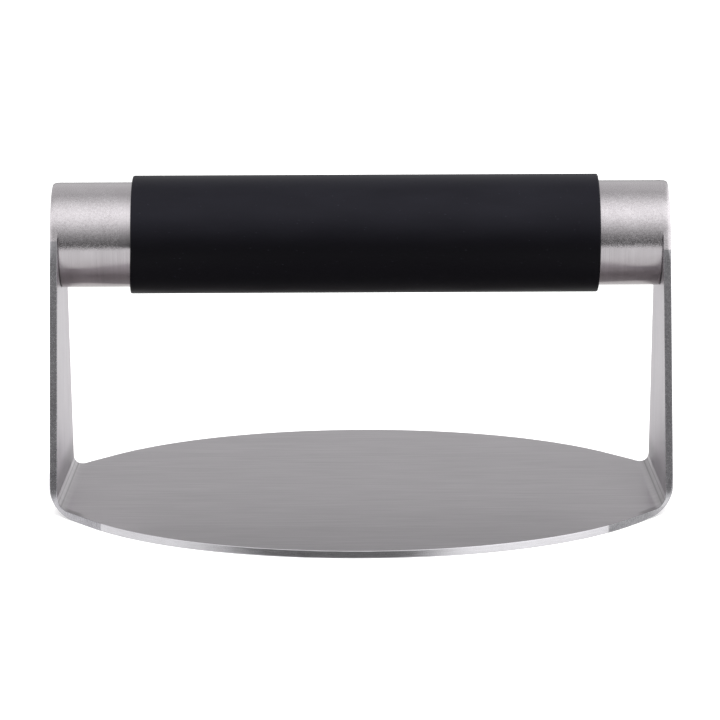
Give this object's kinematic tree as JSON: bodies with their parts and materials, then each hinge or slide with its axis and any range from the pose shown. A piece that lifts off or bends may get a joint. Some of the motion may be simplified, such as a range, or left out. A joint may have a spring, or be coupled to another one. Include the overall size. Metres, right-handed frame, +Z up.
{
  "type": "patty press",
  "caption": "Round flat steel pressing plate with bent-up side arms and a sleeved tube handle, for pressing burger patties flat.",
  "frame": {"origin": "centre of the flat pressing face, on the plane that the press rests on", "axes": "+Z up, out of the plate towards the handle; +X along the handle, towards the end that the sleeve sits nearer to; +Y across the handle"},
  "size_m": [0.1484, 0.1504, 0.0782],
  "materials": {
    "plate_steel": "fine straight brushing, satin, edges deburred",
    "tube_steel": "satin, turned and belt polished",
    "weld_steel": "weld ground flush and blended with a random fine scratch",
    "black_silicone": "smooth matt black silicone"
  },
  "bodies": {
    "root": {"press_frame": "plate_steel", "handle_tube": "tube_steel", "left_weld": "weld_steel", "right_weld": "weld_steel", "grip_sleeve": "black_silicone"}
  },
  "joints": []
}
